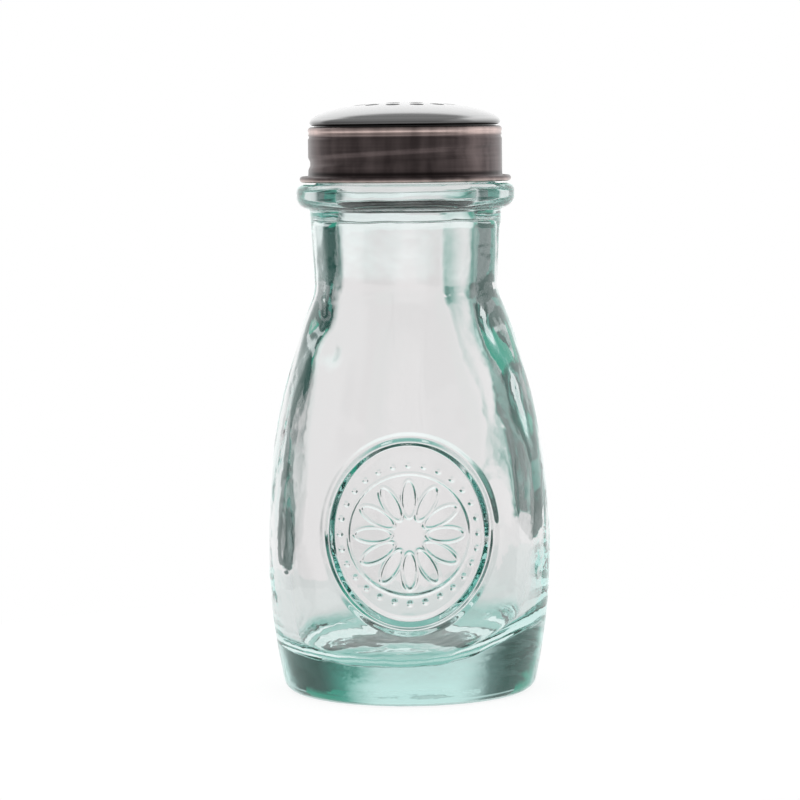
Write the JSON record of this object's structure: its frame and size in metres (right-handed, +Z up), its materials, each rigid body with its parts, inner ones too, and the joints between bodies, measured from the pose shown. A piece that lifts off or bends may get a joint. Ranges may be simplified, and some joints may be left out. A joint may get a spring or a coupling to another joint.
{
  "type": "parmesan shaker",
  "caption": "Glass shaker jar with a round belly, narrow neck and raised oval medallion, closed by a screw ring that holds a perforated metal dome over a flat seal.",
  "frame": {"origin": "centre of the foot, on the plane that the jar stands on", "axes": "+Z up along the axis of the jar and its thread, -Y out of the medallion on the front, +X to the right as seen from the front"},
  "size_m": [0.0652, 0.0658, 0.1351],
  "materials": {
    "glass": "clear recycled glass with an aqua tint",
    "ring_steel": "dark gunmetal lacquer over steel sheet",
    "dome_steel": "satin steel sheet",
    "seal": "soft white polyethylene"
  },
  "bodies": {
    "jar": {"glass_jar": "glass"},
    "seal": {"seal_ring": "seal"},
    "cap": {"screw_ring": "ring_steel", "shaker_dome": "dome_steel"}
  },
  "joints": [
    {"name": "cap_lift", "type": "slide", "parent": "jar", "child": "seal", "axis": [0, 0, 1], "range_m": [0, 0.014]},
    {"name": "cap_turn", "type": "hinge", "parent": "seal", "child": "cap", "pos_m": [0, 0, 0.1276], "axis": [0, 0, 1], "range_deg": [0, 720]}
  ],
  "couplings": [
    {"joint": "cap_lift", "follows": "cap_turn", "m_per_rad": 0.001114}
  ]
}
